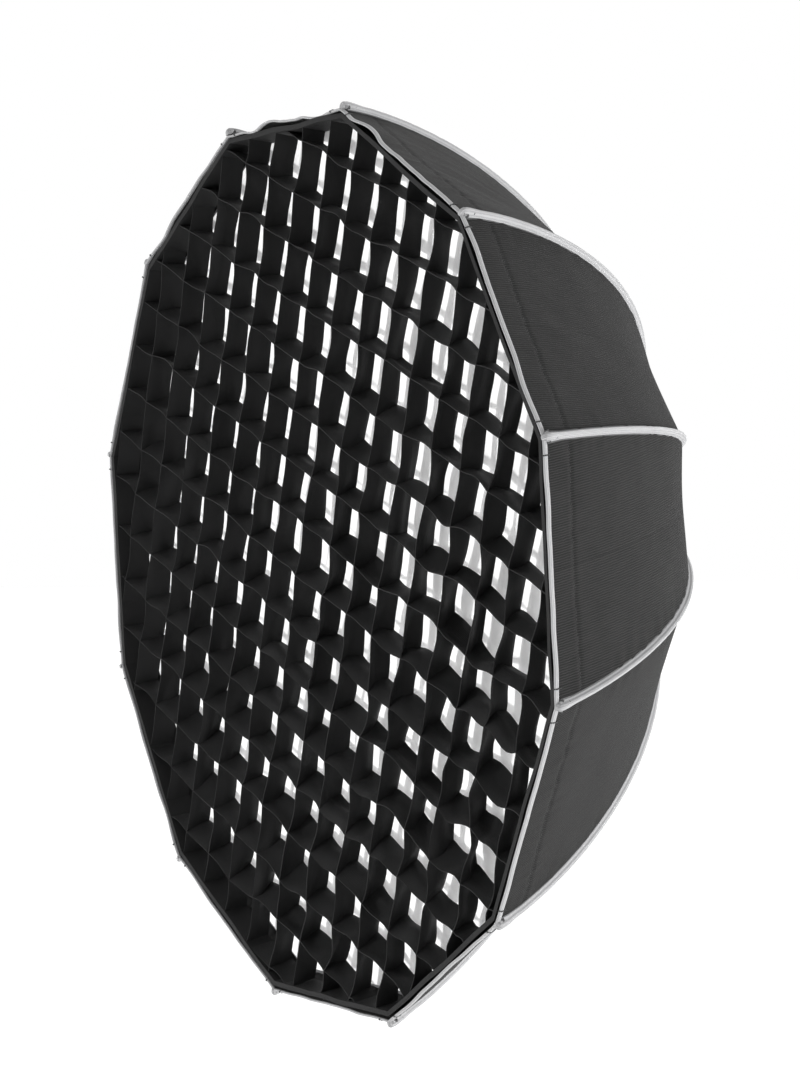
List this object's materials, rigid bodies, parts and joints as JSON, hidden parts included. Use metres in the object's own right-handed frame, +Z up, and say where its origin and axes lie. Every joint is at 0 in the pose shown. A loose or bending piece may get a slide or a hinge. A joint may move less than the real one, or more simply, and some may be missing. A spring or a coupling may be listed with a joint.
{
  "type": "octabox softbox",
  "caption": "Folding deep softbox with hinged rods on a rotating speedring, a black cloth shell, inner and front diffusers and a fabric egg-crate grid.",
  "frame": {"origin": "centre of the mount flange's back face, where the softbox meets the lamp", "axes": "+Z up, -Y along the optical axis in the direction the light leaves, +X to the right seen from the front"},
  "size_m": [1.164, 0.4876, 1.1638],
  "materials": {
    "shell_cloth": "matt woven polyester, black",
    "grid_cloth": "matt black cloth strips",
    "front_white_cloth": "translucent white diffusion cloth",
    "inner_white_cloth": "translucent white diffusion cloth",
    "trim_grey": "light grey woven tape",
    "lining_silver": "silver coated lining",
    "spring_steel": "drawn wire",
    "mount_steel": "satin nickel plate",
    "ring_casting": "black powder coat",
    "moulded_nylon": "black moulded nylon",
    "release_grey": "grey moulded nylon"
  },
  "bodies": {
    "mount": {"mount_ring": "mount_steel", "mount_sleeve": "mount_steel", "insert_retainer": "spring_steel"},
    "hub": {"speedring_body": "ring_casting", "pivot_wire": "spring_steel", "pivot_cover": "ring_casting"},
    "release": {"release_ring": "release_grey"},
    "knob": {"lock_knob": "moulded_nylon"},
    "inner_cloth": {"inner_diffuser": "inner_white_cloth"},
    "front_cloth": {"front_diffuser": "front_white_cloth"},
    "grid": {"grid": "grid_cloth"},
    "rib_01": {"knuckle_01": "ring_casting", "rod_01": "spring_steel", "tip_cap_01": "moulded_nylon", "shell_gore_01": "shell_cloth"},
    "rib_02": {"knuckle_02": "ring_casting", "rod_02": "spring_steel", "tip_cap_02": "moulded_nylon", "shell_gore_02": "shell_cloth"},
    "rib_03": {"knuckle_03": "ring_casting", "rod_03": "spring_steel", "tip_cap_03": "moulded_nylon", "shell_gore_03": "shell_cloth"},
    "rib_04": {"knuckle_04": "ring_casting", "rod_04": "spring_steel", "tip_cap_04": "moulded_nylon", "shell_gore_04": "shell_cloth"},
    "rib_05": {"knuckle_05": "ring_casting", "rod_05": "spring_steel", "tip_cap_05": "moulded_nylon", "shell_gore_05": "shell_cloth"},
    "rib_06": {"knuckle_06": "ring_casting", "rod_06": "spring_steel", "tip_cap_06": "moulded_nylon", "shell_gore_06": "shell_cloth"},
    "rib_07": {"knuckle_07": "ring_casting", "rod_07": "spring_steel", "tip_cap_07": "moulded_nylon", "shell_gore_07": "shell_cloth"},
    "rib_08": {"knuckle_08": "ring_casting", "rod_08": "spring_steel", "tip_cap_08": "moulded_nylon", "shell_gore_08": "shell_cloth"},
    "rib_09": {"knuckle_09": "ring_casting", "rod_09": "spring_steel", "tip_cap_09": "moulded_nylon", "shell_gore_09": "shell_cloth"},
    "rib_10": {"knuckle_10": "ring_casting", "rod_10": "spring_steel", "tip_cap_10": "moulded_nylon", "shell_gore_10": "shell_cloth"},
    "rib_11": {"knuckle_11": "ring_casting", "rod_11": "spring_steel", "tip_cap_11": "moulded_nylon", "shell_gore_11": "shell_cloth"},
    "rib_12": {"knuckle_12": "ring_casting", "rod_12": "spring_steel", "tip_cap_12": "moulded_nylon", "shell_gore_12": "shell_cloth"}
  },
  "joints": [
    {"name": "ring_turn", "type": "hinge", "parent": "mount", "child": "hub", "pos_m": [0, 0, 0], "axis": [0, -1, 0], "continuous": true},
    {"name": "release_turn", "type": "hinge", "parent": "hub", "child": "release", "pos_m": [0, -0.032, 0], "axis": [0, -1, 0], "range_deg": [0, 5], "stiffness_Nm_per_rad": 0.4},
    {"name": "lock_knob_turn", "type": "hinge", "parent": "hub", "child": "knob", "pos_m": [0, -0.01, -0.1], "axis": [0, 0, -1], "range_deg": [0, 360]},
    {"name": "rib_01_fold", "type": "hinge", "parent": "hub", "child": "rib_01", "pos_m": [0.02278, -0.016, 0.085], "axis": [0.9659, 0, -0.2588], "range_deg": [0, 45], "deforming": ["shell_gore_01", "inner_diffuser", "front_diffuser", "grid"]},
    {"name": "rib_02_fold", "type": "hinge", "parent": "hub", "child": "rib_02", "pos_m": [0.06223, -0.016, 0.06223], "axis": [0.7071, 0, -0.7071], "range_deg": [0, 45], "deforming": ["shell_gore_02"]},
    {"name": "rib_03_fold", "type": "hinge", "parent": "hub", "child": "rib_03", "pos_m": [0.085, -0.016, 0.02278], "axis": [0.2588, 0, -0.9659], "range_deg": [0, 45], "deforming": ["shell_gore_03"]},
    {"name": "rib_04_fold", "type": "hinge", "parent": "hub", "child": "rib_04", "pos_m": [0.085, -0.016, -0.02278], "axis": [-0.2588, 0, -0.9659], "range_deg": [0, 45], "deforming": ["shell_gore_04"]},
    {"name": "rib_05_fold", "type": "hinge", "parent": "hub", "child": "rib_05", "pos_m": [0.06223, -0.016, -0.06223], "axis": [-0.7071, 0, -0.7071], "range_deg": [0, 45], "deforming": ["shell_gore_05"]},
    {"name": "rib_06_fold", "type": "hinge", "parent": "hub", "child": "rib_06", "pos_m": [0.02278, -0.016, -0.085], "axis": [-0.9659, 0, -0.2588], "range_deg": [0, 45], "deforming": ["shell_gore_06"]},
    {"name": "rib_07_fold", "type": "hinge", "parent": "hub", "child": "rib_07", "pos_m": [-0.02278, -0.016, -0.085], "axis": [-0.9659, 0, 0.2588], "range_deg": [0, 45], "deforming": ["shell_gore_07"]},
    {"name": "rib_08_fold", "type": "hinge", "parent": "hub", "child": "rib_08", "pos_m": [-0.06223, -0.016, -0.06223], "axis": [-0.7071, 0, 0.7071], "range_deg": [0, 45], "deforming": ["shell_gore_08"]},
    {"name": "rib_09_fold", "type": "hinge", "parent": "hub", "child": "rib_09", "pos_m": [-0.085, -0.016, -0.02278], "axis": [-0.2588, 0, 0.9659], "range_deg": [0, 45], "deforming": ["shell_gore_09"]},
    {"name": "rib_10_fold", "type": "hinge", "parent": "hub", "child": "rib_10", "pos_m": [-0.085, -0.016, 0.02278], "axis": [0.2588, 0, 0.9659], "range_deg": [0, 45], "deforming": ["shell_gore_10"]},
    {"name": "rib_11_fold", "type": "hinge", "parent": "hub", "child": "rib_11", "pos_m": [-0.06223, -0.016, 0.06223], "axis": [0.7071, 0, 0.7071], "range_deg": [0, 45], "deforming": ["shell_gore_11"]},
    {"name": "rib_12_fold", "type": "hinge", "parent": "hub", "child": "rib_12", "pos_m": [-0.02278, -0.016, 0.085], "axis": [0.9659, 0, 0.2588], "range_deg": [0, 45], "deforming": ["shell_gore_12"]},
    {"name": "cloth_follow", "type": "slide", "parent": "hub", "child": "inner_cloth", "axis": [0, -1, 0], "range_m": [0, 0.24]},
    {"name": "front_diffuser_off", "type": "slide", "parent": "inner_cloth", "child": "front_cloth", "axis": [0, -1, 0], "range_m": [0, 0.25]},
    {"name": "grid_off", "type": "slide", "parent": "front_cloth", "child": "grid", "axis": [0, -1, 0], "range_m": [0, 0.25]}
  ],
  "couplings": [
    {"joint": "rib_02_fold", "follows": "rib_01_fold", "ratio": 1},
    {"joint": "rib_03_fold", "follows": "rib_01_fold", "ratio": 1},
    {"joint": "rib_04_fold", "follows": "rib_01_fold", "ratio": 1},
    {"joint": "rib_05_fold", "follows": "rib_01_fold", "ratio": 1},
    {"joint": "rib_06_fold", "follows": "rib_01_fold", "ratio": 1},
    {"joint": "rib_07_fold", "follows": "rib_01_fold", "ratio": 1},
    {"joint": "rib_08_fold", "follows": "rib_01_fold", "ratio": 1},
    {"joint": "rib_09_fold", "follows": "rib_01_fold", "ratio": 1},
    {"joint": "rib_10_fold", "follows": "rib_01_fold", "ratio": 1},
    {"joint": "rib_11_fold", "follows": "rib_01_fold", "ratio": 1},
    {"joint": "rib_12_fold", "follows": "rib_01_fold", "ratio": 1},
    {"joint": "cloth_follow", "follows": "rib_01_fold", "m_per_rad": 0.2894}
  ]
}
